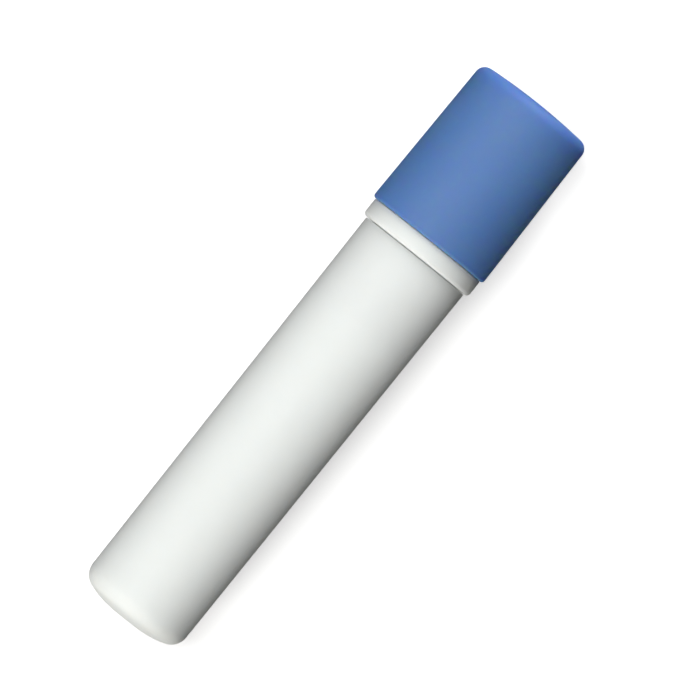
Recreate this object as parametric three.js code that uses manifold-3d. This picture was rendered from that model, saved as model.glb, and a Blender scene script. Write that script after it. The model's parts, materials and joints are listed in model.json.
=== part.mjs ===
// A capped, spring-loaded periodontal probe, lying on its side: closed end at -X, cap at +X.
// Its tip floats on a light spring, so it yields when it is pressed with more than 0.25 N.
//
// Everything is in millimetres. Every piece is drawn round the Y axis, which starts at the closed
// end of the barrel, so its outlines are lists of [radius, height], and the tool is laid down along X
// at the end. An outline runs counter-clockwise, with the material on its left.
import * as THREE from "three";
import { mergeVertices } from "three/addons/utils/BufferGeometryUtils.js";
import Module from "manifold-3d";

const wasm = await Module();
wasm.setup();

// Driving dimensions: the closed tool, seen from outside.
const overallLength = 96;
const capLength = 25.35;
const capRimRadius = 10.26;
const capTopRadius = 9.91;
const capCorner = 1.6;
const capDome = 0.35;
const collarRadius = 9.71;
const collarWidth = 2.85;
const barrelFootRadius = 8.68;
const barrelMouthRadius = 9.03;
const barrelCorner = 2.8;
const barrelFlat = 2.2; // radius of the flat in the middle of the foot

// Driving dimensions: walls and fits.
const barrelWall = 1.5;
const capWall = 1.05;
const gap = 0.1; // round pieces that are fixed in each other
const endGap = 0.2; // pieces that meet end to end
const running = 0.12; // round pieces that slide or turn in each other
const chamfer = 0.2;

// Driving dimensions: the working end.
const tipReach = 11.6; // from the hub to the end of the ball
const ballRadius = 0.25;
const bandWidth = 1.95;
const hubRadius = 2.3;
const plungerTravel = 2;
const rodRadius = 1.6;
const rodFlat = 1.1; // from the rod's axis to its flat side
const tubeRadius = 5;
const tubeWall = 0.8;
const springLength = 20.2;
const springRadius = 3.1; // to the middle of the wire
const wireRadius = 0.18;
const springCoils = 11;
const screwRadius = 1.25;
const bayonetTurn = 45; // degrees from locked to free

// Heights along the tool, worked out from its ends.
const capRim = overallLength - capLength;
const capCeiling = overallLength - capDome - capWall;
const collarTop = capRim - endGap;
const collarFoot = collarTop - collarWidth;
const barrelMouth = collarFoot - gap;
const tipEnd = capCeiling - 0.4;
const hubTop = tipEnd - tipReach;
const bandTop = hubTop - 1.1;
const bandFoot = bandTop - bandWidth;
const noseTop = bandFoot - gap;
const neckTop = noseTop - 3.05;
const headTop = noseTop - 1.85;
const headFoot = headTop - 4.2;
const bushTop = headFoot - plungerTravel - endGap;
const bushFoot = bushTop - 5.1;
const tubeTop = bushFoot - endGap;
const flangeTop = tubeTop - 21.9;
const flangeFoot = flangeTop - 2;
const seatTop = flangeFoot - springLength;
const seatFoot = seatTop - 2.6;
const plugTop = seatFoot - 1.9;
const plugFoot = plugTop - 3;
const tubeFoot = plugFoot - gap;
const tubeBore = tubeRadius - tubeWall;
const barrelBore = 7.7;
const neckRadius = 8.2;
const socketRadius = 1.5;
const noseBore = hubRadius + 0.15;

// Sides of the facetted rounds. Each has a flat side downwards, so the lying tool doesn't roll.
const outerSides = 32;
const innerSides = 24;
const smallSides = 16;

const finish = (color, roughness, metalness = 0) =>
  new THREE.MeshStandardMaterial({ color, roughness, metalness });
const whitePlastic = finish(0xebf0ec, 0.42);
const bluePlastic = finish(0x5c86c6, 0.38);
const naturalPlastic = finish(0xe9e6da, 0.5);
const acetal = finish(0xf2f0e8, 0.45);
const hubPlastic = finish(0x2f5fa8, 0.35);
const greenPlastic = finish(0x3aa35c, 0.4);
const rubber = finish(0x26292c, 0.75);
const silicone = finish(0x9fb4c6, 0.7);
const steel = finish(0xc9ccd0, 0.25, 1);
const aluminium = finish(0xc3c8cd, 0.38, 1);
const brass = finish(0xc9a452, 0.32, 1);

const radians = THREE.MathUtils.degToRad;
const bothSides = [-1, 1];

// Points of an arc round (radius, height), in degrees: 0 points away from the axis and 90 up.
function arc(radius, height, size, from, to, steps = 5) {
  return Array.from({ length: steps + 1 }, (_, i) => {
    const angle = radians(from + ((to - from) * i) / steps);
    return [radius + size * Math.cos(angle), height + size * Math.sin(angle)];
  });
}

// A solid of revolution, whose outline starts and ends on the axis or is closed here.
function turned(outline, sides) {
  const points = outline.map(([radius, height]) => new THREE.Vector2(Math.max(radius, 0), height));
  const onAxis = points[0].x === 0 && points.at(-1).x === 0;
  if (!onAxis) points.push(points[0].clone());
  return new THREE.LatheGeometry(points, sides, Math.PI / sides);
}

function ring(inner, outer, foot, top, sides) {
  return turned([[inner, foot], [outer, foot], [outer, top], [inner, top]], sides);
}

// A block round (x, z), from one height to another.
function block(x, z, width, depth, foot, top) {
  return new THREE.BoxGeometry(width, top - foot, depth).translate(x, (foot + top) / 2, z);
}

// A piece of a ring between two angles in degrees: 0 lies along X and 90 along Z.
function sector(inner, outer, from, to, foot, top) {
  const shape = new THREE.Shape();
  shape.absarc(0, 0, outer, radians(from), radians(to), false);
  shape.absarc(0, 0, inner, radians(to), radians(from), true);
  const options = { depth: top - foot, bevelEnabled: false, curveSegments: 8 };
  return new THREE.ExtrudeGeometry(shape, options).rotateX(Math.PI / 2).translate(0, top, 0);
}

function solid(geometry) {
  const bare = geometry.index ? geometry.toNonIndexed() : geometry.clone();
  bare.deleteAttribute("normal");
  bare.deleteAttribute("uv");
  const merged = mergeVertices(bare);
  const vertProperties = merged.attributes.position.array;
  const triVerts = new Uint32Array(merged.index.array);
  return new wasm.Manifold(new wasm.Mesh({ numProp: 3, vertProperties, triVerts }));
}

function geometryOf(body) {
  const { vertProperties, triVerts } = body.getMesh();
  const geometry = new THREE.BufferGeometry();
  geometry.setAttribute("position", new THREE.BufferAttribute(vertProperties, 3));
  geometry.setIndex(new THREE.BufferAttribute(triVerts, 1));
  geometry.computeVertexNormals();
  return geometry;
}

function cut(geometry, tools) {
  return geometryOf(tools.reduce((body, tool) => body.subtract(solid(tool)), solid(geometry)));
}

function join(geometry, others) {
  return geometryOf(others.reduce((body, other) => body.add(solid(other)), solid(geometry)));
}

// Closed at the foot, which is flat in the middle with a gate dimple, then crowned, then rounded at
// the corner, and drafted towards the mouth.
function barrel() {
  const dimple = { radius: 1.5, depth: 0.3 };
  const crownEnd = -70; // degrees, where the crown runs into the corner
  const crownSlope = Math.cos(radians(crownEnd));
  const crown = barrelCorner + (barrelFootRadius - barrelCorner - barrelFlat) / crownSlope;
  const cornerHeight = crown + (crown - barrelCorner) * Math.sin(radians(crownEnd));
  const boreFoot = barrelMouth - 13; // where the spigot ends
  const floorTop = barrelWall + 0.2;
  const innerFoot = barrelFootRadius - barrelWall;
  const innerCorner = barrelCorner - 1;
  return turned(
    [
      [0, dimple.depth],
      [dimple.radius - dimple.depth, dimple.depth],
      [dimple.radius, 0],
      ...arc(barrelFlat, crown, crown, -90, crownEnd, 4).slice(0, -1),
      ...arc(barrelFootRadius - barrelCorner, cornerHeight, barrelCorner, crownEnd, 0, 5),
      [barrelMouthRadius, barrelMouth - chamfer],
      [barrelMouthRadius - chamfer, barrelMouth],
      [barrelBore, barrelMouth],
      [barrelBore, boreFoot],
      [barrelBore - 0.25, boreFoot - 0.25],
      ...arc(innerFoot - innerCorner, floorTop + innerCorner, innerCorner, 0, -90, 4),
      [0, floorTop],
    ],
    outerSides,
  );
}

// Grooves for the two seal rings: the height of the foot, the width and the radius at the bottom.
const sealGroove = { foot: barrelMouth - 5.7, width: 1.2, radius: 6.85 };
const gripGroove = { foot: collarTop + 2.75, width: 1.4, radius: 7.3 };

function grooveOutline(groove, outside) {
  const top = groove.foot + groove.width;
  return [[outside, groove.foot], [groove.radius, groove.foot], [groove.radius, top], [outside, top]];
}

// One moulding: the spigot is pressed into the barrel's mouth, the collar covers the barrel's end,
// and the neck carries the cap. Inside are the seats of the guide tube, the front bush and the nose.
function neckHousing() {
  const spigot = { radius: barrelBore - gap, foot: barrelMouth - 12.6 };
  const collarEdge = 0.62;
  const tubeSeat = { radius: tubeRadius + gap, top: tubeTop + gap };
  const bushSeat = { radius: tubeRadius - 0.4, top: bushTop + gap };
  const noseThread = tubeRadius - 0.05;
  return turned(
    [
      [tubeSeat.radius, spigot.foot],
      [spigot.radius - chamfer, spigot.foot],
      [spigot.radius, spigot.foot + chamfer],
      ...grooveOutline(sealGroove, spigot.radius),
      [spigot.radius, collarFoot],
      ...arc(collarRadius - collarEdge, collarFoot + collarEdge, collarEdge, -90, 0, 4),
      [collarRadius, collarTop - chamfer],
      [collarRadius - chamfer, collarTop],
      [neckRadius, collarTop],
      ...grooveOutline(gripGroove, neckRadius),
      [neckRadius, neckTop - chamfer],
      [neckRadius - chamfer, neckTop],
      [noseThread, neckTop],
      [noseThread, bushSeat.top],
      [bushSeat.radius, bushSeat.top],
      [bushSeat.radius, tubeSeat.top],
      [tubeSeat.radius, tubeSeat.top],
    ],
    outerSides,
  );
}

function sealRing(groove, section) {
  const middle = groove.foot + groove.width / 2;
  const outline = arc(groove.radius + section + 0.02, middle, section, 0, 360, 8);
  return turned(outline.slice(0, -1), outerSides);
}

// Screws into the neck, and two flats on its flange take a spanner.
function noseCone() {
  const flange = { radius: 6.6, foot: neckTop + gap, edge: neckTop + 0.8, flat: 5.8 };
  const thread = { radius: tubeRadius - 0.15, foot: bushTop + endGap };
  const cone = turned(
    [
      [noseBore, thread.foot],
      [thread.radius, thread.foot],
      [thread.radius, flange.foot],
      [flange.radius, flange.foot],
      [flange.radius, flange.edge],
      [3.5, noseTop - 0.3],
      [3.2, noseTop],
      [noseBore, noseTop],
    ],
    innerSides,
  );
  const flatDepth = flange.radius - flange.flat + 1;
  const flats = bothSides.map((side) =>
    block(
      side * (flange.flat + flatDepth / 2),
      0,
      flatDepth,
      2 * flange.radius,
      neckTop + gap / 2,
      flange.edge + 0.4,
    ),
  );
  return cut(cone, flats);
}

// Its bore has a flat side, like the rod, so the rod slides in it and can't turn.
function frontBush() {
  const bore = rodRadius + running;
  const outside = tubeRadius - 0.5;
  const bushFlat = rodFlat + gap;
  const key = sector(bushFlat, bore + 0.4, -60, 60, bushFoot, bushTop);
  const open = block(bushFlat - 2, 0, 4, 6, bushFoot - 1, bushTop + 1);
  return join(ring(bore, outside, bushFoot, bushTop, innerSides), [cut(key, [open])]);
}

// The mechanism's housing, with two slots for the spring seat's keys, open at the rear end.
function guideTube() {
  const slot = { width: 1.3, top: seatTop + 5.2 };
  const middle = tubeRadius - tubeWall / 2;
  const slots = bothSides.map((side) =>
    block(side * middle, 0, 2, slot.width, tubeFoot - 1, slot.top),
  );
  return cut(ring(tubeBore, tubeRadius, tubeFoot, tubeTop, innerSides), slots);
}

// Holds the guide tube's rear end in the middle of the barrel, with room for the screw's head.
function endCushion() {
  const outside = barrelFootRadius - barrelWall - 0.36;
  const foot = barrelWall + 0.4;
  const top = tubeFoot + 1.4;
  const pocket = { radius: 3.3, foot: plugFoot - 3.5 };
  return turned(
    [
      [0, foot],
      [outside - 1.3, foot],
      [outside, foot + 1.5],
      [outside, top],
      [tubeRadius + 0.15, top],
      [tubeRadius + 0.15, tubeFoot - 0.15],
      [pocket.radius, tubeFoot - 0.15],
      [pocket.radius, pocket.foot],
      [0, pocket.foot],
    ],
    innerSides,
  );
}

function centringRing() {
  const foot = seatTop + 6.7;
  return ring(tubeRadius + gap, barrelBore - 0.7, foot, foot + 3.5, innerSides);
}

// Stops the plunger's flange at the front.
function frontStopRing() {
  const foot = flangeTop + 0.15;
  return ring(rodRadius + 0.2, tubeBore - gap, foot, foot + 1.05, innerSides);
}

function rearPlug() {
  return ring(screwRadius + 0.37, tubeBore - gap, plugFoot, plugTop, innerSides);
}

// Drafted like the barrel, but narrower at its closed top, which is slightly domed.
function capShell() {
  const rimEdge = 0.75;
  const inner = { rim: capRimRadius - capWall, top: capTopRadius - capWall, corner: 0.5 };
  const shoulder = overallLength - capDome;
  return turned(
    [
      [0, capCeiling],
      [inner.top - inner.corner, capCeiling],
      [inner.top, capCeiling - inner.corner],
      [inner.rim, capRim + chamfer],
      [inner.rim + chamfer, capRim],
      ...arc(capRimRadius - rimEdge, capRim + rimEdge, rimEdge, -90, 0, 4),
      ...arc(capTopRadius - capCorner, shoulder - capCorner, capCorner, 0, 84, 5),
      [capTopRadius * 0.55, overallLength - capDome * 0.35],
      [0, overallLength],
    ],
    outerSides,
  );
}

// A soft sleeve in the cap, which the neck's grip ring holds.
function capLiner() {
  const foot = capRim + 0.75;
  const top = foot + 15;
  const outside = capRimRadius - capWall - 0.24;
  const inside = neckRadius + 0.22;
  return turned(
    [
      [inside + 0.15, foot],
      [outside, foot],
      [outside - 0.23, top],
      [inside, top],
      [inside, foot + 0.4],
    ],
    outerSides,
  );
}

// The lugs on the tip's hub, and the slots for them in the plunger's socket.
const lug = { foot: headTop - 2, top: headTop - 1.1, inner: 1.3, outer: 2.2, width: 0.8 };

// Tail, spring flange, rod with one flat, and a socket head with two bayonet slots.
function plunger() {
  const tail = { radius: 1.5, foot: flangeFoot - 11 };
  const pilot = { radius: 2.5, foot: flangeFoot - 0.8 };
  const socketFoot = headTop - 3;
  const body = turned(
    [
      [0, tail.foot],
      [tail.radius - chamfer, tail.foot],
      [tail.radius, tail.foot + chamfer],
      [tail.radius, pilot.foot - 0.3],
      [pilot.radius, pilot.foot],
      [pilot.radius, flangeFoot],
      [tubeBore - 0.2, flangeFoot],
      [tubeBore - 0.2, flangeTop],
      [rodRadius, flangeTop],
      [rodRadius, headFoot],
      [hubRadius, headFoot + 0.3],
      [hubRadius, headTop],
      [socketRadius, headTop],
      [socketRadius, socketFoot],
      [0, socketFoot],
    ],
    innerSides,
  );
  const flat = block(rodFlat + 1, 0, 2, 4, flangeTop + 1, headFoot);
  const play = 20; // half the width of a slot, in degrees
  const [inside, outside] = [lug.inner - gap, hubRadius + 1];
  const slots = [0, 180].flatMap((locked) => {
    const free = locked - bayonetTurn;
    return [
      sector(inside, outside, free - play, locked + play, lug.foot - gap, lug.top + gap),
      sector(inside, outside, free - play, free + play, lug.top, headTop + 1),
    ];
  });
  return cut(body, [flat, ...slots]);
}

// Its rear pin locks in the plunger's socket with two lugs. The front is bored for the tip.
function tipHub() {
  const pin = { radius: socketRadius - gap, foot: headTop - 2.9 };
  const bandSeat = hubRadius - 0.25;
  const tipBore = 0.62;
  const body = turned(
    [
      [0, pin.foot],
      [pin.radius - gap, pin.foot],
      [pin.radius, pin.foot + gap],
      [pin.radius, headTop + gap],
      [hubRadius, headTop + gap],
      [hubRadius, bandFoot - gap],
      [bandSeat, bandFoot - gap],
      [bandSeat, bandTop],
      [tipBore + 0.2, hubTop],
      [tipBore, hubTop],
      [tipBore, bandFoot - 0.5],
      [0, bandFoot - 0.5],
    ],
    smallSides,
  );
  const middle = (lug.inner + lug.outer) / 2;
  const length = lug.outer - lug.inner;
  const lugs = bothSides.map((side) =>
    block(side * middle, 0, length, lug.width, lug.foot, lug.top),
  );
  return join(body, lugs);
}

// It sinks into the nose as the tip yields, and so shows that the set force is reached.
function forceBand() {
  return ring(hubRadius - 0.18, hubRadius + 0.02, bandFoot, bandTop - gap / 2, smallSides);
}

// A tapered wire with a ball end. Its rear is moulded into the hub.
function probeTip() {
  const root = 0.5;
  const ballCentre = tipEnd - ballRadius;
  const foot = bandFoot - 0.4;
  return turned(
    [
      [0, foot],
      [root, foot],
      [root, hubTop + 0.2],
      [ballRadius * 0.65, ballCentre - 1.4 * ballRadius],
      ...arc(0, ballCentre, ballRadius, -50, 80, 5),
      [0, tipEnd],
    ],
    smallSides,
  );
}

class Helix extends THREE.Curve {
  constructor(radius, foot, top, turns) {
    super();
    Object.assign(this, { radius, foot, top, turns });
  }

  getPoint(t, target = new THREE.Vector3()) {
    const angle = 2 * Math.PI * this.turns * t;
    const height = THREE.MathUtils.lerp(this.foot, this.top, t);
    return target.set(this.radius * Math.cos(angle), height, this.radius * Math.sin(angle));
  }
}

function forceSpring() {
  const clear = wireRadius + running;
  const wire = new THREE.Shape().absarc(0, 0, wireRadius, 0, 2 * Math.PI, false);
  return new THREE.ExtrudeGeometry(wire, {
    extrudePath: new Helix(springRadius, seatTop + clear, flangeFoot - clear, springCoils),
    steps: springCoils * 10,
    curveSegments: 3,
    bevelEnabled: false,
  });
}

// Its keys ride in the guide tube's slots, so turning the screw moves it along.
function springSeat() {
  const outside = tubeBore - 0.2;
  const bore = screwRadius + gap;
  const pilot = { radius: springRadius - 0.5, top: seatTop + 0.8 };
  const body = turned(
    [
      [bore, seatFoot],
      [outside, seatFoot],
      [outside, seatTop],
      [pilot.radius, seatTop],
      [pilot.radius, pilot.top],
      [bore, pilot.top],
    ],
    smallSides,
  );
  const keyWidth = 1;
  const keys = bothSides.map((side) => block(side * tubeBore, 0, 1.2, keyWidth, seatFoot, seatTop));
  return join(body, keys);
}

// The groove in the calibration screw, and the split ring that sits in it.
const clip = { foot: plugTop + 0.15, width: 0.55, groove: 1.1, outer: 2.4 };

function calibrationScrew() {
  const head = { radius: 2.9, foot: plugFoot - 2.2, top: plugFoot - 0.5 };
  const shank = 1.5;
  const end = seatTop + 2.8;
  const screw = turned(
    [
      [0, head.foot],
      [head.radius - chamfer, head.foot],
      [head.radius, head.foot + chamfer],
      [head.radius, head.top],
      [shank, head.top],
      [shank, clip.foot - 0.05],
      [clip.groove, clip.foot - 0.05],
      [clip.groove, clip.foot + clip.width + 0.1],
      [screwRadius, clip.foot + clip.width + 0.1],
      [screwRadius, end - 0.3],
      [screwRadius - 0.3, end],
      [0, end],
    ],
    smallSides,
  );
  const slotDepth = 0.9;
  return cut(screw, [block(0, 0, 0.8, 8, head.foot - 1, head.foot + slotDepth)]);
}

// Takes the spring's thrust from the screw to the rear plug.
function thrustClip() {
  const halfOpening = 35; // degrees
  const top = clip.foot + clip.width;
  return sector(clip.groove + gap, clip.outer, halfOpening, 360 - halfOpening, clip.foot, top);
}

function waveWasher() {
  const top = plugFoot - 0.17;
  const washer = ring(screwRadius + 0.45, 2.7, top - 0.18, top, smallSides);
  const { position } = washer.attributes;
  const waves = { count: 3, height: 0.06 };
  for (let i = 0; i < position.count; i++) {
    const angle = Math.atan2(position.getZ(i), position.getX(i));
    position.setY(i, position.getY(i) + waves.height * Math.sin(waves.count * angle));
  }
  return washer;
}

const pieces = [
  ["barrel", barrel(), whitePlastic],
  ["neck_housing", neckHousing(), whitePlastic],
  ["barrel_seal_ring", sealRing(sealGroove, 0.37), rubber],
  ["neck_grip_ring", sealRing(gripGroove, 0.52), rubber],
  ["nose_cone", noseCone(), steel],
  ["front_bush", frontBush(), acetal],
  ["guide_tube", guideTube(), aluminium],
  ["front_stop_ring", frontStopRing(), steel],
  ["centring_ring", centringRing(), acetal],
  ["rear_plug", rearPlug(), brass],
  ["end_cushion", endCushion(), silicone],
  ["wave_washer", waveWasher(), steel],
  ["calibration_screw", calibrationScrew(), brass],
  ["thrust_clip", thrustClip(), steel],
  ["spring_seat", springSeat(), brass],
  ["force_spring", forceSpring(), steel],
  ["plunger", plunger(), aluminium],
  ["tip_hub", tipHub(), hubPlastic],
  ["force_band", forceBand(), greenPlastic],
  ["probe_tip", probeTip(), steel],
  ["cap_shell", capShell(), bluePlastic],
  ["cap_liner", capLiner(), naturalPlastic],
];

const probe = new THREE.Group();
for (const [name, geometry, material] of pieces) {
  const mesh = new THREE.Mesh(geometry, material);
  mesh.name = name;
  probe.add(mesh);
}

// Lay the tool down along X, centred, with a flat side of the cap's rim on the ground.
probe.rotation.z = -Math.PI / 2;
probe.position.set(-overallLength / 2, 0, capRimRadius * Math.cos(Math.PI / outerSides));

export default probe;
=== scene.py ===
import json
import math
import bpy
import bmesh
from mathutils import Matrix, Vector


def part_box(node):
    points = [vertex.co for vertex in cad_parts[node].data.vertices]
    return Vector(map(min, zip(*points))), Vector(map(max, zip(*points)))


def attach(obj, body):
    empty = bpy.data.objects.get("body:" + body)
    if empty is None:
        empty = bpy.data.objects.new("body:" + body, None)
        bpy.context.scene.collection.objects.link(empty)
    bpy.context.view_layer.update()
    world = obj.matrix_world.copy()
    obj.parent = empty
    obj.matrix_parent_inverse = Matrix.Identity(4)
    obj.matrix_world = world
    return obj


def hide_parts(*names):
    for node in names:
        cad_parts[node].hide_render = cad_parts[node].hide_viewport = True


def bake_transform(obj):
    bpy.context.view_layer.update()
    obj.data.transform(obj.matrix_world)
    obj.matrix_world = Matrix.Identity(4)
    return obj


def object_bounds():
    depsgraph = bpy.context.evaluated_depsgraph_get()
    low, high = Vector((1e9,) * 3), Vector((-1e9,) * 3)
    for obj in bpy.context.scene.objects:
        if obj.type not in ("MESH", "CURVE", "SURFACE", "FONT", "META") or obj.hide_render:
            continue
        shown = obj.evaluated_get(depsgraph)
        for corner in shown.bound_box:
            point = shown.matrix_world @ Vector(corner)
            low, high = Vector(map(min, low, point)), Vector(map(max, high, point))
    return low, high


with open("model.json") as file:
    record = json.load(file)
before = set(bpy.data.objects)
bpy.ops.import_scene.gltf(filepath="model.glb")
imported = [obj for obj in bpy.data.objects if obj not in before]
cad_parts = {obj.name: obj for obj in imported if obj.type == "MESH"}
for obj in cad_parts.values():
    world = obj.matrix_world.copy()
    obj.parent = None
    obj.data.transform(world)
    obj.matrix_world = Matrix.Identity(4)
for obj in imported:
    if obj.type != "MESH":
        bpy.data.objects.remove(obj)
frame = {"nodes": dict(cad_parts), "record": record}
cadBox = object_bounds()

# The tool lies along +X, with its foot at -X. An outline is a list of (radius, height, rounding) in
# millimetres, with the height counted along the tool from its foot, and is turned round its axis.
mm = 0.001
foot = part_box("barrel")[0].x
axisHeight = (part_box("cap_shell")[0].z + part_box("cap_shell")[1].z) / 2
toolLength = cadBox[1].x - cadBox[0].x
record = frame["record"]
bodyOf = {node: body for body, nodes in record["behaviour"]["bodies"].items() for node in nodes}
slotOf = {part["node"]: part["material_slot"] for part in record["subparts"]}
outerSides, innerSides = 32, 24  # flat sides of the solids' rounds
roundSides = {"large": 144, "medium": 128, "small": 96, "thin": 64}  # sides of the rounds made here
rounding = {"share": 0.46, "lead": 0.12, "stepAngle": 16, "crownSteps": 8, "cornerSteps": 14}


def heights(node):
    low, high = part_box(node)
    return (low.x - foot) / mm, (high.x - foot) / mm


def radiusOf(node, sides):
    # the solids' rounds have flat sides, so their corners reach further out than their boxes
    low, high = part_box(node)
    return (high.y - low.y) / 2 / mm / math.cos(math.pi / sides)


def arc(radius, height, size, start, end, steps):
    turns = [math.radians(start + (end - start) * i / steps) for i in range(steps + 1)]
    return [(radius + size * math.cos(a), height + size * math.sin(a), 0) for a in turns]


def roundCorners(outline, closed):
    path = []
    for i, (radius, height, size) in enumerate(outline):
        corner = Vector((radius, height))
        isEnd = not closed and i in (0, len(outline) - 1)
        if size <= 0 or isEnd:
            path.append(corner)
            continue
        back = Vector(outline[i - 1][:2]) - corner
        ahead = Vector(outline[(i + 1) % len(outline)][:2]) - corner
        half = back.angle(ahead) / 2
        room = rounding["share"]
        reach = min(size / math.tan(half), room * back.length, room * ahead.length)
        size = reach * math.tan(half)
        back.normalize()
        ahead.normalize()
        middle = corner + (back + ahead).normalized() * size / math.sin(half)
        first, last = corner + back * reach - middle, corner + ahead * reach - middle
        swing = first.angle(last)
        steps = max(2, math.ceil(swing / math.radians(rounding["stepAngle"])))
        path.append(middle + first + back * reach * rounding["lead"])
        for k in range(steps + 1):
            before, after = math.sin(swing * (1 - k / steps)), math.sin(swing * k / steps)
            path.append(middle + (first * before + last * after) / math.sin(swing))
        path.append(middle + last + ahead * reach * rounding["lead"])
    return path


def turned(name, outline, sides, flats=None):
    # flats = (distance from the axis, lowest height): two flat sides, from that height up
    onAxis = outline[0][0] == 0 and outline[-1][0] == 0
    path = roundCorners(outline, not onAxis)
    mesh = bpy.data.meshes.new(name)
    build = bmesh.new()
    rings = []
    for radius, height in path:
        x = foot + height * mm
        if radius < 1e-6:
            rings.append([build.verts.new((x, 0, axisHeight))])
            continue
        ring = []
        for i in range(sides):
            turn = 2 * math.pi * i / sides
            y, z = radius * math.sin(turn), radius * math.cos(turn)
            if flats and height > flats[1]:
                y = max(-flats[0], min(flats[0], y))
            ring.append(build.verts.new((x, y * mm, axisHeight + z * mm)))
        rings.append(ring)
    following = rings[1:] if onAxis else rings[1:] + rings[:1]
    for low, high in zip(rings, following):
        for i in range(sides):
            j = (i + 1) % sides
            corners = [low[i % len(low)], low[j % len(low)]]
            corners += [high[j % len(high)], high[i % len(high)]]
            corners = list(dict.fromkeys(corners))  # a ring on the axis is a single point
            if len(corners) > 2:
                build.faces.new(corners).smooth = True
    bmesh.ops.recalc_face_normals(build, faces=build.faces)
    build.to_mesh(mesh)
    build.free()
    piece = bpy.data.objects.new(name, mesh)
    bpy.context.scene.collection.objects.link(piece)
    return piece


def standFor(node, piece, material):
    piece.data.materials.append(material)
    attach(piece, bodyOf[node])
    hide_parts(node)


def addNode(tree, kind, inputs=None, **settings):
    made = tree.nodes.new(kind)
    for name, value in settings.items():
        setattr(made, name, value)
    for name, value in (inputs or {}).items():
        if isinstance(value, bpy.types.NodeSocket):
            tree.links.new(value, made.inputs[name])
        else:
            made.inputs[name].default_value = value
    return made


def calculate(tree, operation, *values):
    made = tree.nodes.new("ShaderNodeMath")
    made.operation = operation
    for i, value in enumerate(values):
        if isinstance(value, bpy.types.NodeSocket):
            tree.links.new(value, made.inputs[i])
        else:
            made.inputs[i].default_value = value
    return made.outputs[0]


def blendColours(tree, share, first, second, mode="MIX"):
    made = tree.nodes.new("ShaderNodeMix")
    made.data_type = "RGBA"
    made.blend_type = mode
    for name, value in (("Factor_Float", share), ("A_Color", first), ("B_Color", second)):
        socket = next(s for s in made.inputs if s.identifier == name)
        if isinstance(value, bpy.types.NodeSocket):
            tree.links.new(value, socket)
        else:
            socket.default_value = value
    return next(s for s in made.outputs if s.identifier == "Result_Color")


def remap(tree, value, fromLow, fromHigh, toLow=0.0, toHigh=1.0):
    inputs = {"Value": value, "From Min": fromLow, "From Max": fromHigh,
              "To Min": toLow, "To Max": toHigh}
    return addNode(tree, "ShaderNodeMapRange", inputs, clamp=True).outputs["Result"]


def newGroup(name, inputs, outputs):
    group = bpy.data.node_groups.new(name, "ShaderNodeTree")
    for label, kind, value in inputs:
        group.interface.new_socket(label, in_out="INPUT", socket_type=kind).default_value = value
    for label, kind in outputs:
        group.interface.new_socket(label, in_out="OUTPUT", socket_type=kind)
    return group, group.nodes.new("NodeGroupInput"), group.nodes.new("NodeGroupOutput")


def millimetres(tree, stretch=(1, 1, 1), turn=(0, 0, 0)):
    metres = addNode(tree, "ShaderNodeTexCoord").outputs["Object"]
    inputs = {"Vector": metres, "Scale": [s * 1000 for s in stretch], "Rotation": turn}
    return addNode(tree, "ShaderNodeMapping", inputs).outputs[0]


def noise(tree, position, scale, detail=2.0, roughness=0.5):
    inputs = {"Vector": position, "Scale": scale, "Detail": detail, "Roughness": roughness}
    return addNode(tree, "ShaderNodeTexNoise", inputs).outputs["Fac"]


# Fine spark-eroded grain, faint flow clouds, and short scuffs from handling. The scales are
# features in a millimetre, and the scuffs run mostly along the tool or mostly across it.
skinDetail = {
    "grain": 7.0, "clouds": 0.09, "patches": 0.16, "patchRange": (0.46, 0.68),
    "alongStretch": (0.35, 3.2, 3.2), "alongTurn": (0.2, 0.1, 0.5), "alongRange": (0.67, 0.74),
    "acrossStretch": (3.0, 0.4, 0.4), "acrossTurn": (0.5, 0.4, -0.3), "acrossRange": (0.68, 0.75),
    "acrossScale": 1.1, "scuffTint": 0.5, "scuffDepth": 0.6,
    "grainRoughness": 0.1, "scuffRoughness": 0.16, "cloudRoughness": 0.12,
}


def centred(tree, value):
    return calculate(tree, "SUBTRACT", value, 0.5)


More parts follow.
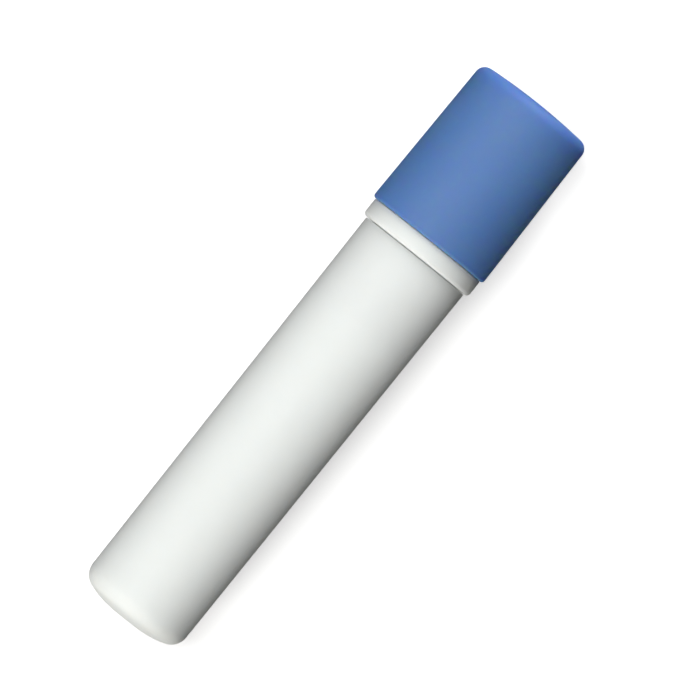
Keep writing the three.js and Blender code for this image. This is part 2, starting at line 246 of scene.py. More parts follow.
def makeMouldedSkin(detail):
    group, start, end = newGroup(
        "mouldedSkin",
        [("Colour", "NodeSocketColor", (0.8, 0.8, 0.8, 1)), ("Clouds", "NodeSocketFloat", 0.03),
         ("Roughness", "NodeSocketFloat", 0.4), ("Scuffs", "NodeSocketFloat", 0.3),
         ("Scuffed Colour", "NodeSocketColor", (0.9, 0.9, 0.9, 1))],
        [("Colour", "NodeSocketColor"), ("Roughness", "NodeSocketFloat"),
         ("Height", "NodeSocketFloat")])
    plain = millimetres(group)
    grain = noise(group, plain, detail["grain"], 3.0, 0.6)
    clouds = noise(group, plain, detail["clouds"], 2.0, 0.4)
    along = millimetres(group, detail["alongStretch"], detail["alongTurn"])
    across = millimetres(group, detail["acrossStretch"], detail["acrossTurn"])
    along = remap(group, noise(group, along, 1.0, 4.0, 0.6), *detail["alongRange"])
    across = noise(group, across, detail["acrossScale"], 4.0, 0.6)
    across = remap(group, across, *detail["acrossRange"])
    where = remap(group, noise(group, plain, detail["patches"], 1.0), *detail["patchRange"])
    scuffs = calculate(group, "MULTIPLY", calculate(group, "MAXIMUM", along, across), where)
    scuffs = calculate(group, "MULTIPLY", scuffs, start.outputs["Scuffs"])
    shift = calculate(group, "MULTIPLY", centred(group, clouds), start.outputs["Clouds"])
    shade = calculate(group, "ADD", 1.0, shift)
    greys = {"Red": shade, "Green": shade, "Blue": shade}
    value = addNode(group, "ShaderNodeCombineColor", greys).outputs[0]
    cloudy = blendColours(group, 1.0, start.outputs["Colour"], value, "MULTIPLY")
    tint = calculate(group, "MULTIPLY", scuffs, detail["scuffTint"])
    worn = blendColours(group, tint, cloudy, start.outputs["Scuffed Colour"])
    rough = start.outputs["Roughness"]
    for mask, amount in ((centred(group, grain), detail["grainRoughness"]),
                         (scuffs, detail["scuffRoughness"]),
                         (centred(group, clouds), detail["cloudRoughness"])):
        rough = calculate(group, "MULTIPLY_ADD", mask, amount, rough)
    height = calculate(group, "MULTIPLY_ADD", scuffs, -detail["scuffDepth"], grain)
    for name, socket in (("Colour", worn), ("Roughness", rough), ("Height", height)):
        group.links.new(socket, end.inputs[name])
    return group


# A mask of the corners that hands and pockets rub.
edgeDetail = {"sharpRange": (0.505, 0.56), "breaks": 1.4, "breakRange": (0.35, 0.7)}


def makeRubbedEdges(detail):
    group, start, end = newGroup("rubbedEdges", [("Amount", "NodeSocketFloat", 0.5)],
                                 [("Mask", "NodeSocketFloat")])
    sharpness = addNode(group, "ShaderNodeNewGeometry").outputs["Pointiness"]
    edge = remap(group, sharpness, *detail["sharpRange"])
    broken = noise(group, millimetres(group), detail["breaks"], 4.0, 0.65)
    broken = remap(group, broken, *detail["breakRange"])
    mask = calculate(group, "MULTIPLY", edge, broken)
    mask = calculate(group, "MULTIPLY", mask, start.outputs["Amount"])
    group.links.new(mask, end.inputs["Mask"])
    return group


# Rings that a lathe tool leaves round the axis, with a few deeper ones.
markDetail = {"wanderScale": 0.6, "wander": 0.15, "smearScale": 1.2,
              "ringRoughness": 0.25, "smearRoughness": 0.12}


def makeTurningMarks(detail):
    group, start, end = newGroup(
        "turningMarks",
        [("Pitch", "NodeSocketFloat", 0.08), ("Roughness", "NodeSocketFloat", 0.25)],
        [("Height", "NodeSocketFloat"), ("Roughness", "NodeSocketFloat")])
    plain = millimetres(group)
    split = addNode(group, "ShaderNodeSeparateXYZ", {"Vector": plain})
    wander = noise(group, plain, detail["wanderScale"], 1.0)
    wander = calculate(group, "MULTIPLY", wander, detail["wander"])
    along = calculate(group, "ADD", split.outputs["X"], wander)
    along = calculate(group, "DIVIDE", along, start.outputs["Pitch"])
    inputs = {"W": along, "Scale": 1.0, "Detail": 3.0}
    fine = addNode(group, "ShaderNodeTexNoise", inputs, noise_dimensions="1D").outputs["Fac"]
    smear = noise(group, plain, detail["smearScale"], 3.0, 0.6)
    rough = start.outputs["Roughness"]
    for mask, amount in ((fine, detail["ringRoughness"]), (smear, detail["smearRoughness"])):
        rough = calculate(group, "MULTIPLY_ADD", centred(group, mask), amount, rough)
    group.links.new(fine, end.inputs["Height"])
    group.links.new(rough, end.inputs["Roughness"])
    return group


mouldedSkin = makeMouldedSkin(skinDetail)
rubbedEdges = makeRubbedEdges(edgeDetail)
turningMarks = makeTurningMarks(markDetail)
print("shader groups made")


def newMaterial(name):
    material = bpy.data.materials.new(name)
    material.use_nodes = True
    tree = material.node_tree
    shader = next(n for n in tree.nodes if n.type == "BSDF_PRINCIPLED")
    return material, tree, shader


def place(tree, group, **inputs):
    made = tree.nodes.new("ShaderNodeGroup")
    made.node_tree = group
    for name, value in inputs.items():
        made.inputs[name.replace("_", " ")].default_value = value
    return made


reliefDepth = {"plastic": 0.02, "metal": 0.01}  # millimetres


def addRelief(tree, shader, strength, depth, height):
    inputs = {"Strength": strength, "Distance": depth * mm, "Height": height}
    bump = addNode(tree, "ShaderNodeBump", inputs)
    tree.links.new(bump.outputs["Normal"], shader.inputs["Normal"])


def plastic(name, finish):
    material, tree, shader = newMaterial(name)
    skin = place(tree, mouldedSkin, Colour=finish["colour"], Clouds=finish["clouds"],
                 Roughness=finish["roughness"], Scuffs=finish["scuffs"],
                 Scuffed_Colour=finish["scuffed"])
    edges = place(tree, rubbedEdges, Amount=finish["edgeWear"])
    colour = blendColours(tree, edges.outputs["Mask"], skin.outputs["Colour"], finish["scuffed"])
    tree.links.new(colour, shader.inputs["Base Color"])
    tree.links.new(skin.outputs["Roughness"], shader.inputs["Roughness"])
    addRelief(tree, shader, finish["relief"], reliefDepth["plastic"], skin.outputs["Height"])
    shader.inputs["IOR"].default_value = finish["ior"]
    shader.inputs["Specular IOR Level"].default_value = finish["gloss"]
    shader.inputs["Subsurface Weight"].default_value = finish["depth"]
    shader.inputs["Subsurface Scale"].default_value = finish["depthScale"] * mm
    shader.inputs["Subsurface Radius"].default_value = finish["depthColour"]
    return material


def metal(name, finish):
    material, tree, shader = newMaterial(name)
    marks = place(tree, turningMarks, Pitch=finish["pitch"], Roughness=finish["roughness"])
    edges = place(tree, rubbedEdges, Amount=finish["edgeWear"])
    tarnish = noise(tree, millimetres(tree), finish["tarnishScale"], 4.0, 0.6)
    tarnish = remap(tree, tarnish, *finish["tarnishRange"])
    colour = blendColours(tree, tarnish, finish["colour"], finish["tarnished"])
    colour = blendColours(tree, edges.outputs["Mask"], colour, finish["bright"])
    tree.links.new(colour, shader.inputs["Base Color"])
    tree.links.new(marks.outputs["Roughness"], shader.inputs["Roughness"])
    addRelief(tree, shader, finish["relief"], reliefDepth["metal"], marks.outputs["Height"])
    shader.inputs["Metallic"].default_value = 1
    return material


whiteFinish = {
    "colour": (0.806, 0.836, 0.81, 1), "scuffed": (0.86, 0.88, 0.85, 1), "clouds": 0.03,
    "roughness": 0.6, "scuffs": 0.25, "gloss": 0.2, "edgeWear": 0.3, "relief": 0.5, "ior": 1.49,
    "depth": 1.0, "depthScale": 2.5, "depthColour": (1.0, 0.95, 0.9),
}
# The blue lets only blue light through, so that its shaded side stays deep in colour.
blueFinish = {
    "colour": (0.074, 0.192, 0.53, 1), "scuffed": (0.2, 0.34, 0.62, 1), "clouds": 0.06,
    "roughness": 0.7, "scuffs": 0.3, "gloss": 0.85, "edgeWear": 0.4, "relief": 0.5, "ior": 1.49,
    "depth": 1.0, "depthScale": 7.0, "depthColour": (0.004, 0.025, 1.0),
}
linerFinish = {
    "colour": (0.8, 0.77, 0.68, 1), "scuffed": (0.85, 0.83, 0.76, 1), "clouds": 0.06,
    "roughness": 0.5, "scuffs": 0.4, "gloss": 0.5, "edgeWear": 0.2, "relief": 0.3, "ior": 1.51,
    "depth": 0.4, "depthScale": 1.5, "depthColour": (1.0, 0.9, 0.75),
}
acetalFinish = {**linerFinish, "colour": (0.84, 0.82, 0.76, 1), "roughness": 0.38, "depth": 0.15}
hubFinish = {
    "colour": (0.028, 0.09, 0.33, 1), "scuffed": (0.12, 0.2, 0.45, 1), "clouds": 0.08,
    "roughness": 0.28, "scuffs": 0.5, "gloss": 0.5, "edgeWear": 0.5, "relief": 0.15, "ior": 1.52,
    "depth": 0.0, "depthScale": 1.0, "depthColour": (0.2, 0.4, 1.0),
}
bandFinish = {**hubFinish, "colour": (0.03, 0.34, 0.09, 1), "scuffed": (0.15, 0.5, 0.2, 1)}
rubberFinish = {
    "colour": (0.018, 0.019, 0.021, 1), "scuffed": (0.07, 0.07, 0.072, 1), "clouds": 0.2,
    "roughness": 0.72, "scuffs": 0.6, "gloss": 0.4, "edgeWear": 0.4, "relief": 0.5, "ior": 1.5,
    "depth": 0.0, "depthScale": 1.0, "depthColour": (1.0, 1.0, 1.0),
}
siliconeFinish = {**rubberFinish, "colour": (0.33, 0.44, 0.54, 1), "scuffed": (0.5, 0.58, 0.65, 1),
                  "depth": 0.2}

steelFinish = {
    "colour": (0.56, 0.57, 0.59, 1), "tarnished": (0.5, 0.505, 0.515, 1),
    "bright": (0.75, 0.76, 0.77, 1), "tarnishScale": 0.5, "tarnishRange": (0.35, 0.75),
    "pitch": 0.06, "roughness": 0.24, "relief": 0.35, "edgeWear": 0.8,
}
aluminiumFinish = {**steelFinish, "colour": (0.6, 0.615, 0.64, 1),
                   "tarnished": (0.5, 0.515, 0.54, 1), "roughness": 0.36}
brassFinish = {**steelFinish, "colour": (0.6, 0.4, 0.11, 1), "tarnished": (0.45, 0.27, 0.07, 1),
               "bright": (0.82, 0.62, 0.28, 1), "roughness": 0.3}

materials = {
    "white_plastic": plastic("satinWhite", whiteFinish),
    "blue_plastic": plastic("satinBlue", blueFinish),
    "natural_plastic": plastic("milkyLiner", linerFinish),
    "acetal": plastic("waxyAcetal", acetalFinish),
    "hub_plastic": plastic("glossyHub", hubFinish),
    "band_plastic": plastic("greenBand", bandFinish),
    "rubber": plastic("blackRubber", rubberFinish),
    "silicone": plastic("greySilicone", siliconeFinish),
    "steel": metal("turnedSteel", steelFinish),
    "aluminium": metal("clearAnodised", aluminiumFinish),
    "brass": metal("turnedBrass", brassFinish),
}

# Polished steel with black bands, whose edges are real distances from the end of the ball.
tipFinish = {
    "colour": (0.6, 0.61, 0.63, 1), "band": (0.012, 0.012, 0.014, 1), "pitch": 0.03,
    "roughness": 0.18, "relief": 0.2, "bands": ((3.5, 5.5), (8.5, 11.5)), "bandBlur": 0.03,
    "bandWear": 0.82, "wearScale": 3.0, "wearRange": (0.3, 0.75), "bandMetal": 0.15,
    "bandRoughness": 0.3,
}


def bandedSteel(name, finish):
    material, tree, shader = newMaterial(name)
    marks = place(tree, turningMarks, Pitch=finish["pitch"], Roughness=finish["roughness"])
    split = addNode(tree, "ShaderNodeSeparateXYZ", {"Vector": millimetres(tree)})
    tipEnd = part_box("probe_tip")[1].x / mm
    reach = calculate(tree, "SUBTRACT", tipEnd, split.outputs["X"])
    blur = finish["bandBlur"]
    mask = None
    for near, far in finish["bands"]:
        pastNear = remap(tree, reach, near - blur, near + blur)
        beforeFar = remap(tree, reach, far - blur, far + blur, 1.0, 0.0)
        inside = calculate(tree, "MULTIPLY", pastNear, beforeFar)
        mask = inside if mask is None else calculate(tree, "MAXIMUM", mask, inside)
    worn = noise(tree, millimetres(tree), finish["wearScale"], 4.0, 0.7)
    worn = remap(tree, worn, *finish["wearRange"], 1.0, finish["bandWear"])
    mask = calculate(tree, "MULTIPLY", mask, worn)
    colour = blendColours(tree, mask, finish["colour"], finish["band"])
    shine = remap(tree, mask, 0.0, 1.0, 1.0, finish["bandMetal"])
    rough = marks.outputs["Roughness"]
    rough = calculate(tree, "MULTIPLY_ADD", mask, finish["bandRoughness"], rough)
    for socketName, value in (("Base Color", colour), ("Metallic", shine), ("Roughness", rough)):
        tree.links.new(value, shader.inputs[socketName])
    addRelief(tree, shader, finish["relief"], reliefDepth["metal"], marks.outputs["Height"])
    return material


tipSteel = bandedSteel("bandedTip", tipFinish)
print("materials made")

for node, cadObject in frame["nodes"].items():
    for materialSlot in cadObject.material_slots:
        materialSlot.material = materials[slotOf[node]]

barrelShape = {
    "taper": 0.35, "wall": 1.5, "corner": 2.8, "flat": 2.2, "crownEnd": -70, "dimple": 1.5,
    "dimpleDepth": 0.3, "gate": 0.45, "gateDraft": 0.05, "gateSink": 0.45, "gateEdgeSink": 0.5,
    "bore": 7.7, "boreLength": 13, "boreStep": 0.25, "floor": 0.2, "innerCorner": 1.7,
    "edge": 0.14,
}


def makeBarrel(shape):
    mouth = heights("barrel")[1]
    mouthRadius = radiusOf("barrel", outerSides)
    footRadius = mouthRadius - shape["taper"]
    crownEnd, corner, dimpleDepth = shape["crownEnd"], shape["corner"], shape["dimpleDepth"]
    slope = math.radians(crownEnd)
    crown = corner + (footRadius - corner - shape["flat"]) / math.cos(slope)
    cornerHeight = crown + (crown - corner) * math.sin(slope)
    inside = footRadius - shape["wall"]
    boreFoot, step = mouth - shape["boreLength"], shape["boreStep"]
    outline = [
        (0, dimpleDepth * shape["gateSink"], 0),
        (shape["gate"], dimpleDepth * shape["gateEdgeSink"], 0.06),
        (shape["gate"] + shape["gateDraft"], dimpleDepth, 0.06),
        (shape["dimple"] - dimpleDepth, dimpleDepth, 0.12),
        (shape["dimple"], 0, 0.2),
        *arc(shape["flat"], crown, crown, -90, crownEnd, rounding["crownSteps"])[:-1],
        *arc(footRadius - corner, cornerHeight, corner, crownEnd, 0, rounding["cornerSteps"]),
        (mouthRadius, mouth, shape["edge"]),
        (shape["bore"], mouth, shape["edge"]),
        (shape["bore"], boreFoot, 0.1),
        (shape["bore"] - step, boreFoot - step, 0.1),
        (inside, shape["wall"] + shape["floor"], shape["innerCorner"]),
        (0, shape["wall"] + shape["floor"], 0),
    ]
    return turned("barrelTube", outline, roundSides["large"])


standFor("barrel", makeBarrel(barrelShape), materials["white_plastic"])

neckShape = {
    "collarRadius": 9.71, "collarWidth": 2.85, "collarEdge": 0.62, "gap": 0.2, "spigot": 7.6,
    "sealGroove": 6.85, "sealRoom": 0.23, "neck": 8.2, "gripGroove": 7.3, "gripRoom": 0.18,
    "tubeSeat": 5.1, "bushSeat": 4.6, "noseThread": 4.95, "clear": 0.1,
}


def makeNeck(shape):
    low, high = heights("neck_housing")
    collarTop = heights("cap_shell")[0] - shape["gap"]
    collarFoot = collarTop - shape["collarWidth"]
    tubeTop = heights("guide_tube")[1] + shape["clear"]
    bushTop = heights("front_bush")[1] + shape["clear"]
    sealLow, sealHigh = heights("barrel_seal_ring")
    sealLow, sealHigh = sealLow - shape["sealRoom"], sealHigh + shape["sealRoom"]
    gripLow, gripHigh = heights("neck_grip_ring")
    gripLow, gripHigh = gripLow - shape["gripRoom"], gripHigh + shape["gripRoom"]
    outline = [
        (shape["tubeSeat"], low, 0.1),
        (shape["spigot"], low, 0.3),
        (shape["spigot"], sealLow, 0.06),
        (shape["sealGroove"], sealLow, 0.1),
        (shape["sealGroove"], sealHigh, 0.1),
        (shape["spigot"], sealHigh, 0.06),
        (shape["spigot"], collarFoot, 0.1),
        (shape["collarRadius"], collarFoot, shape["collarEdge"]),
        (shape["collarRadius"], collarTop, 0.18),
        (shape["neck"], collarTop, 0.25),
        (shape["neck"], gripLow, 0.08),
        (shape["gripGroove"], gripLow, 0.12),
        (shape["gripGroove"], gripHigh, 0.12),
        (shape["neck"], gripHigh, 0.08),
        (shape["neck"], high, 0.35),
        (shape["noseThread"], high, 0.12),
        (shape["noseThread"], bushTop, 0.05),
        (shape["bushSeat"], bushTop, 0.05),
        (shape["bushSeat"], tubeTop, 0.05),
        (shape["tubeSeat"], tubeTop, 0.05),
    ]
    return turned("neckMoulding", outline, roundSides["large"])


standFor("neck_housing", makeNeck(neckShape), materials["white_plastic"])

capShape = {
    "taper": 0.35, "wall": 1.05, "corner": 1.6, "dome": 0.35, "domeBlend": 0.85, "rimEdge": 0.9,
    "rimReach": 0.15, "inset": 0.002, "innerCorner": 0.5,
}


def makeCap(shape):
    rim, top = heights("cap_shell")
    rim -= shape["rimReach"]  # reaches into the solids' gap before the collar
    low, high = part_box("cap_shell")
    rimRadius = (high.y - low.y) / 2 / mm - shape["inset"]  # just inside the solid's flat sides
    topRadius = rimRadius - shape["taper"]
    corner = shape["corner"]
    shoulder = topRadius - corner
    crown = (shoulder ** 2 + shape["dome"] ** 2) / (2 * shape["dome"])
    tilt = math.degrees(math.asin(shoulder / crown))
    ceiling = top - shape["dome"] - shape["wall"]
    innerRim, innerTop = rimRadius - shape["wall"], topRadius - shape["wall"]
    cornerHeight, domeStart = top - shape["dome"] - corner, 90 - tilt * shape["domeBlend"]
    outline = [
        (0, ceiling, 0),
        (innerTop, ceiling, shape["innerCorner"]),
        (innerRim, rim, 0.2),
        (rimRadius, rim, shape["rimEdge"]),
        *arc(shoulder, cornerHeight, corner, 0, 90 - tilt, rounding["cornerSteps"]),
        *arc(0, top - crown, crown, domeStart, 90, rounding["crownSteps"])[:-1],
        (0, top, 0),
    ]
    return turned("capMoulding", outline, roundSides["large"])


standFor("cap_shell", makeCap(capShape), materials["blue_plastic"])

linerShape = {"bore": 8.42, "lead": 0.15, "leadHeight": 0.4, "draft": 0.23}


def makeLiner(shape):
    low, high = heights("cap_liner")
    outer = radiusOf("cap_liner", outerSides)
    outline = [
        (shape["bore"] + shape["lead"], low, 0.08),
        (outer, low, 0.12),
        (outer - shape["draft"], high, 0.1),
        (shape["bore"], high, 0.1),
        (shape["bore"], low + shape["leadHeight"], 0.3),
    ]
    return turned("linerSleeve", outline, roundSides["medium"])


standFor("cap_liner", makeLiner(linerShape), materials["natural_plastic"])
print("barrel, collar and cap made")

sealShape = {"steps": 24}


def makeRing(name, node, shape):
    low, high = heights(node)
    section = (high - low) / 2
    middle = radiusOf(node, outerSides) - section
    circle = arc(middle, (low + high) / 2, section, 0, 360, shape["steps"])[:-1]
    return turned(name, circle, roundSides["large"])


for node, name in (("neck_grip_ring", "gripRing"), ("barrel_seal_ring", "sealRing")):
    standFor(node, makeRing(name, node, sealShape), materials["rubber"])
print("seals made")

noseShape = {
    "bore": 2.45, "flange": 6.6, "flat": 5.8, "flatGap": 0.01, "shank": 4.85, "relief": 0.25,
    "reliefFoot": 0.3, "reliefLead": 0.05, "coneTop": 3.5, "coneEnd": 0.3, "nose": 3.2,
    "edge": 0.8, "clear": 0.1,
}


def makeNose(shape):
    low, high = heights("nose_cone")
    neckTop = heights("neck_housing")[1]
    seat = neckTop + shape["clear"]
    relief = shape["shank"] - shape["relief"]
    outline = [
        (shape["bore"], low, 0.1),
        (shape["shank"], low, 0.2),
        (shape["shank"], seat - shape["reliefFoot"] - shape["reliefLead"], 0.05),
        (relief, seat - shape["reliefFoot"], 0.05),
        (relief, seat, 0.05),
        (shape["flange"], seat, 0.12),
        (shape["flange"], neckTop + shape["edge"], 0.14),
        (shape["coneTop"], high - shape["coneEnd"], 0.5),
        (shape["nose"], high, 0.12),
        (shape["bore"], high, 0.15),
    ]
    flats = (shape["flat"], seat - shape["flatGap"])
    return turned("noseCone", outline, roundSides["large"], flats)


standFor("nose_cone", makeNose(noseShape), materials["steel"])

hubShape = {
    "radius": 2.3, "pin": 1.4, "bandSeat": 2.05, "bandRoom": 0.1, "tipBore": 0.62,
    "boreDepth": 0.5, "noseEdge": 0.85, "clear": 0.1,
}


def makeHub(shape):
    low, high = heights("tip_hub")
    bandLow, bandHigh = heights("force_band")
    shoulder = heights("plunger")[1] + shape["clear"]
    seatFoot, boreFoot = bandLow - shape["bandRoom"], bandLow - shape["boreDepth"]
    outline = [
        (0, low, 0),
        (shape["pin"], low, 0.12),
        (shape["pin"], shoulder, 0.05),
        (shape["radius"], shoulder, 0.1),
        (shape["radius"], seatFoot, 0.08),
        (shape["bandSeat"], seatFoot, 0.03),
        (shape["bandSeat"], bandHigh + shape["bandRoom"] / 2, 0.25),
        (shape["noseEdge"], high, 0.12),
        (shape["tipBore"], high, 0.03),
        (shape["tipBore"], boreFoot, 0.05),
        (0, boreFoot, 0),
    ]
    return turned("tipHub", outline, roundSides["small"])


standFor("tip_hub", makeHub(hubShape), materials["hub_plastic"])

bandShape = {"radius": 2.32, "wall": 0.2, "edge": 0.07, "innerEdge": 0.05}


def makeBand(shape):
    low, high = heights("force_band")
    outer, inner = shape["radius"], shape["radius"] - shape["wall"]
    outline = [
        (inner, low, shape["innerEdge"]),
        (outer, low, shape["edge"]),
        (outer, high, shape["edge"]),
        (inner, high, shape["innerEdge"]),
    ]
    return turned("forceBand", outline, roundSides["small"])


standFor("force_band", makeBand(bandShape), materials["band_plastic"])

tipShape = {
    "root": 0.5, "rootReach": 0.2, "ball": 0.25, "ballStart": -50, "neck": 0.1625,
    "neckReach": 1.4,
}


def makeTip(shape):
    low, high = heights("probe_tip")
    hubTop = heights("tip_hub")[1]
    ball = high - shape["ball"]
    outline = [
        (0, low, 0),
        (shape["root"], low, 0.1),
        (shape["root"], hubTop + shape["rootReach"], 0.6),
        (shape["neck"], ball - shape["ball"] * shape["neckReach"], 0.12),
        *arc(0, ball, shape["ball"], shape["ballStart"], 90, rounding["cornerSteps"])[:-1],
        (0, high, 0),
    ]
    return turned("probeTip", outline, roundSides["thin"])


standFor("probe_tip", makeTip(tipShape), tipSteel)
print("nose, hub and tip made")

cushionShape = {"lead": 1.3, "leadHeight": 1.5, "pocket": 3.3, "pocketDepth": 3.5, "clear": 0.15}


def makeCushion(shape):
    low, high = heights("end_cushion")
    outer = radiusOf("end_cushion", innerSides)
    tubeSeat = radiusOf("guide_tube", innerSides) + shape["clear"]
    tubeFoot = heights("guide_tube")[0] - shape["clear"]
    pocketFoot = heights("rear_plug")[0] - shape["pocketDepth"]
    outline = [
        (0, low, 0),
        (outer - shape["lead"], low, 0.4),
        (outer, low + shape["leadHeight"], 0.6),
        (outer, high, 0.25),
        (tubeSeat, high, 0.25),
        (tubeSeat, tubeFoot, 0.1),
        (shape["pocket"], tubeFoot, 0.15),
        (shape["pocket"], pocketFoot, 0.15),
        (0, pocketFoot, 0),
    ]
    return turned("endCushion", outline, roundSides["medium"])


standFor("end_cushion", makeCushion(cushionShape), materials["silicone"])

spacerShapes = {
    "centring_ring": {"name": "centringRing", "bore": 5.1, "edge": 0.3},
    "front_stop_ring": {"name": "frontStopRing", "bore": 1.8, "edge": 0.12},
    "rear_plug": {"name": "rearPlug", "bore": 1.62, "edge": 0.2},
}


def makeSpacer(node, shape):
    low, high = heights(node)
    outer = radiusOf(node, innerSides)
    outline = [(shape["bore"], low), (outer, low), (outer, high), (shape["bore"], high)]
    outline = [(*corner, shape["edge"]) for corner in outline]
    return turned(shape["name"], outline, roundSides["medium"])


for node, shape in spacerShapes.items():
    standFor(node, makeSpacer(node, shape), materials[slotOf[node]])
print("cushion and spacers made")

# A wire spring with one closed coil at each end. It is made as two pieces that meet at its middle.
springShape = {
    "wire": 0.18, "coils": 11, "closedCoils": 1, "closedPitch": 0.4, "stepsPerCoil": 40,
    "wireSides": 10,
}


def springPath(shape):
    low, high = heights("force_spring")
    first, last = low + shape["wire"], high - shape["wire"]
    closed = shape["closedCoils"] * shape["closedPitch"]
    openCoils = shape["coils"] - 2 * shape["closedCoils"]
    openPitch = (last - first - 2 * closed) / openCoils
    path = []
    for i in range(shape["coils"] * shape["stepsPerCoil"] + 1):
        coil = i / shape["stepsPerCoil"]
        rising = min(max(coil - shape["closedCoils"], 0), openCoils)
        height = first + rising * openPitch + (coil - rising) * shape["closedPitch"]
        path.append((2 * math.pi * coil, height))
    return path


def makeWire(name, path, shape):
    low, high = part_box("force_spring")
    middle = (high.y - low.y) / 2 / mm - shape["wire"]
    mesh = bpy.data.meshes.new(name)
    build = bmesh.new()
    rings = []
    for i, (turn, height) in enumerate(path):
        before, after = path[max(i - 1, 0)], path[min(i + 1, len(path) - 1)]
        outward = Vector((0, math.sin(turn), math.cos(turn)))
        around = Vector((0, math.cos(turn), -math.sin(turn))) * middle * (after[0] - before[0])
        aside = (around + Vector((after[1] - before[1], 0, 0))).cross(outward).normalized()
        centre = Vector((foot / mm + height, 0, axisHeight / mm)) + outward * middle
        ring = []
        for k in range(shape["wireSides"]):
            angle = 2 * math.pi * k / shape["wireSides"]
            point = centre + (outward * math.cos(angle) + aside * math.sin(angle)) * shape["wire"]
            ring.append(build.verts.new(point * mm))
        rings.append(ring)
    for near, far in zip(rings, rings[1:]):
        for k in range(shape["wireSides"]):
            j = (k + 1) % shape["wireSides"]
            build.faces.new((near[k], near[j], far[j], far[k])).smooth = True
    build.faces.new(rings[0])
    build.faces.new(rings[-1])
    bmesh.ops.recalc_face_normals(build, faces=build.faces)
    build.to_mesh(mesh)
    build.free()
    piece = bpy.data.objects.new(name, mesh)
    bpy.context.scene.collection.objects.link(piece)
    return piece


def makeSpring(shape):
    path = springPath(shape)
    half = len(path) // 2
    ends = [Vector((foot + path[i][1] * mm, 0, axisHeight)) for i in (0, half, -1)]
    parts = [("springRear", path[:half + 1], "seat", "handle", ends[0], ends[1]),
             ("springFront", path[half:], "handle", "plunger", ends[1], ends[2])]
    for name, stretch, rearBody, frontBody, start, end in parts:
        piece = makeWire(name, stretch, shape)
        piece.data.materials.append(materials["steel"])
        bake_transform(piece)
        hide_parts("force_spring")


makeSpring(springShape)
print("spring made")

# The level axis leaves the barrel's foot a little higher than the cap's rim, so the floor leans to
# touch both. Lift is the glow that keeps it white where it is looked at.
floorFinish = {
    "colour": (0.98, 0.98, 0.98, 1), "lift": 0.37, "bounce": (0.05, 0.05, 0.05, 1), "size": 4.0,
    "cells": 8, "drop": 0.02,
}


def makeFloor(finish):
    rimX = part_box("cap_shell")[0].x + capShape["rimEdge"] * mm
    cornerX = foot + barrelShape["corner"] * mm
    rise = axisHeight - (radiusOf("barrel", outerSides) - barrelShape["taper"]) * mm
    lean = math.atan(rise / (rimX - cornerX))
    build = bmesh.new()
    cells = finish["cells"]
    bmesh.ops.create_grid(build, x_segments=cells, y_segments=cells, size=finish["size"] / 2)
    mesh = bpy.data.meshes.new("floor")
    build.to_mesh(mesh)
    build.free()
    floor = bpy.data.objects.new("floor", mesh)
    floor.rotation_euler = (0, lean, 0)
    floor.location = (rimX, 0, -finish["drop"] * mm)
    bpy.context.scene.collection.objects.link(floor)
    # The floor is bright where it is looked at, and gives little light back to the tool.
    material, tree, shader = newMaterial("paleFloor")
    tree.nodes.remove(shader)
    output = next(n for n in tree.nodes if n.type == "OUTPUT_MATERIAL")
    seen = addNode(tree, "ShaderNodeBsdfDiffuse", {"Color": finish["colour"]}).outputs[0]
    glow = addNode(tree, "ShaderNodeEmission", {"Strength": finish["lift"]}).outputs[0]
    bright = addNode(tree, "ShaderNodeAddShader", {0: seen, 1: glow}).outputs[0]
    dull = addNode(tree, "ShaderNodeBsdfDiffuse", {"Color": finish["bounce"]}).outputs[0]
    camera = addNode(tree, "ShaderNodeLightPath").outputs["Is Camera Ray"]
    mix = addNode(tree, "ShaderNodeMixShader", {0: camera, 1: dull, 2: bright}).outputs[0]
    tree.links.new(mix, output.inputs["Surface"])
    floor.data.materials.append(material)


makeFloor(floorFinish)

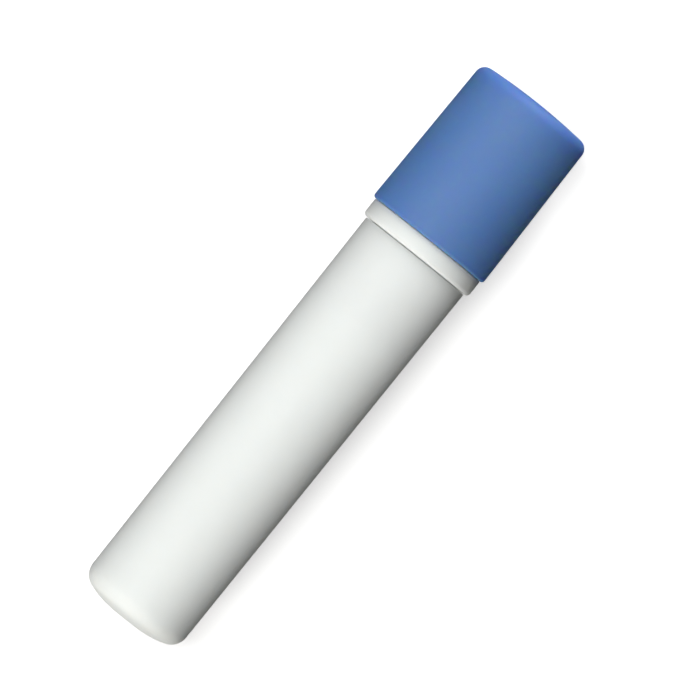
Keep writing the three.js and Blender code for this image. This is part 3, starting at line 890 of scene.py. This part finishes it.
# Each softbox: degrees from straight up towards the tool's left side and towards its foot, then its
# size and distance in metres and its power in watts.
softboxes = {
    "keyLight": {"side": 20, "foot": 0, "size": 0.55, "distance": 0.6, "power": 3.35,
                 "colour": (1, 1, 1)},
    "footLight": {"side": 0, "foot": 72, "size": 0.35, "distance": 0.6, "power": 2.6,
                  "colour": (1, 0.985, 0.94)},
    "capLight": {"side": 0, "foot": -72, "size": 0.35, "distance": 0.6, "power": 2.9,
                 "colour": (1, 1, 1)},
}
skyStrength = 0.008


def makeLight(name, plan):
    side, ahead = math.radians(plan["side"]), math.radians(plan["foot"])
    direction = Vector((-math.sin(ahead), math.sin(side), math.cos(side) * math.cos(ahead)))
    direction.normalize()
    lamp = bpy.data.lights.new(name, "AREA")
    lamp.shape = "SQUARE"
    lamp.size = plan["size"]
    lamp.energy = plan["power"]
    lamp.color = plan["colour"]
    softbox = bpy.data.objects.new(name, lamp)
    softbox.location = Vector((0, 0, axisHeight)) + direction * plan["distance"]
    softbox.rotation_mode = "QUATERNION"
    softbox.rotation_quaternion = direction.to_track_quat("Z", "Y")
    softbox.visible_camera = False
    bpy.context.scene.collection.objects.link(softbox)


for name, plan in softboxes.items():
    makeLight(name, plan)

world = bpy.data.worlds.new("studio")
world.use_nodes = True
sky = next(n for n in world.node_tree.nodes if n.type == "BACKGROUND")
sky.inputs["Color"].default_value = (1, 1, 1, 1)
sky.inputs["Strength"].default_value = skyStrength
bpy.context.scene.world = world

# The frame's width and the middle's offsets are shares of the tool's length.
cameraPlan = {"lens": 600, "frameWidth": 1.06, "right": 0.0286, "up": 0.0163, "lean": 38.65,
              "farthest": 20}


def makeCamera(plan):
    turn = math.radians(90 - plan["lean"])  # from the view's right edge to the tool's axis
    right = Vector((math.cos(turn), -math.sin(turn), 0))
    up = Vector((math.sin(turn), math.cos(turn), 0))
    middle = (cadBox[0] + cadBox[1]) / 2
    aim = middle + toolLength * (plan["right"] * right + plan["up"] * up)
    data = bpy.data.cameras.new("camera")
    data.lens = plan["lens"]
    data.clip_end = plan["farthest"]
    camera = bpy.data.objects.new("camera", data)
    distance = plan["frameWidth"] * toolLength * plan["lens"] / data.sensor_width
    camera.location = aim + Vector((0, 0, distance))
    camera.rotation_euler = (0, 0, -turn)
    bpy.context.scene.collection.objects.link(camera)
    bpy.context.scene.camera = camera


makeCamera(cameraPlan)
bpy.context.scene.view_settings.view_transform = "Standard"
print("stage, light and camera made")
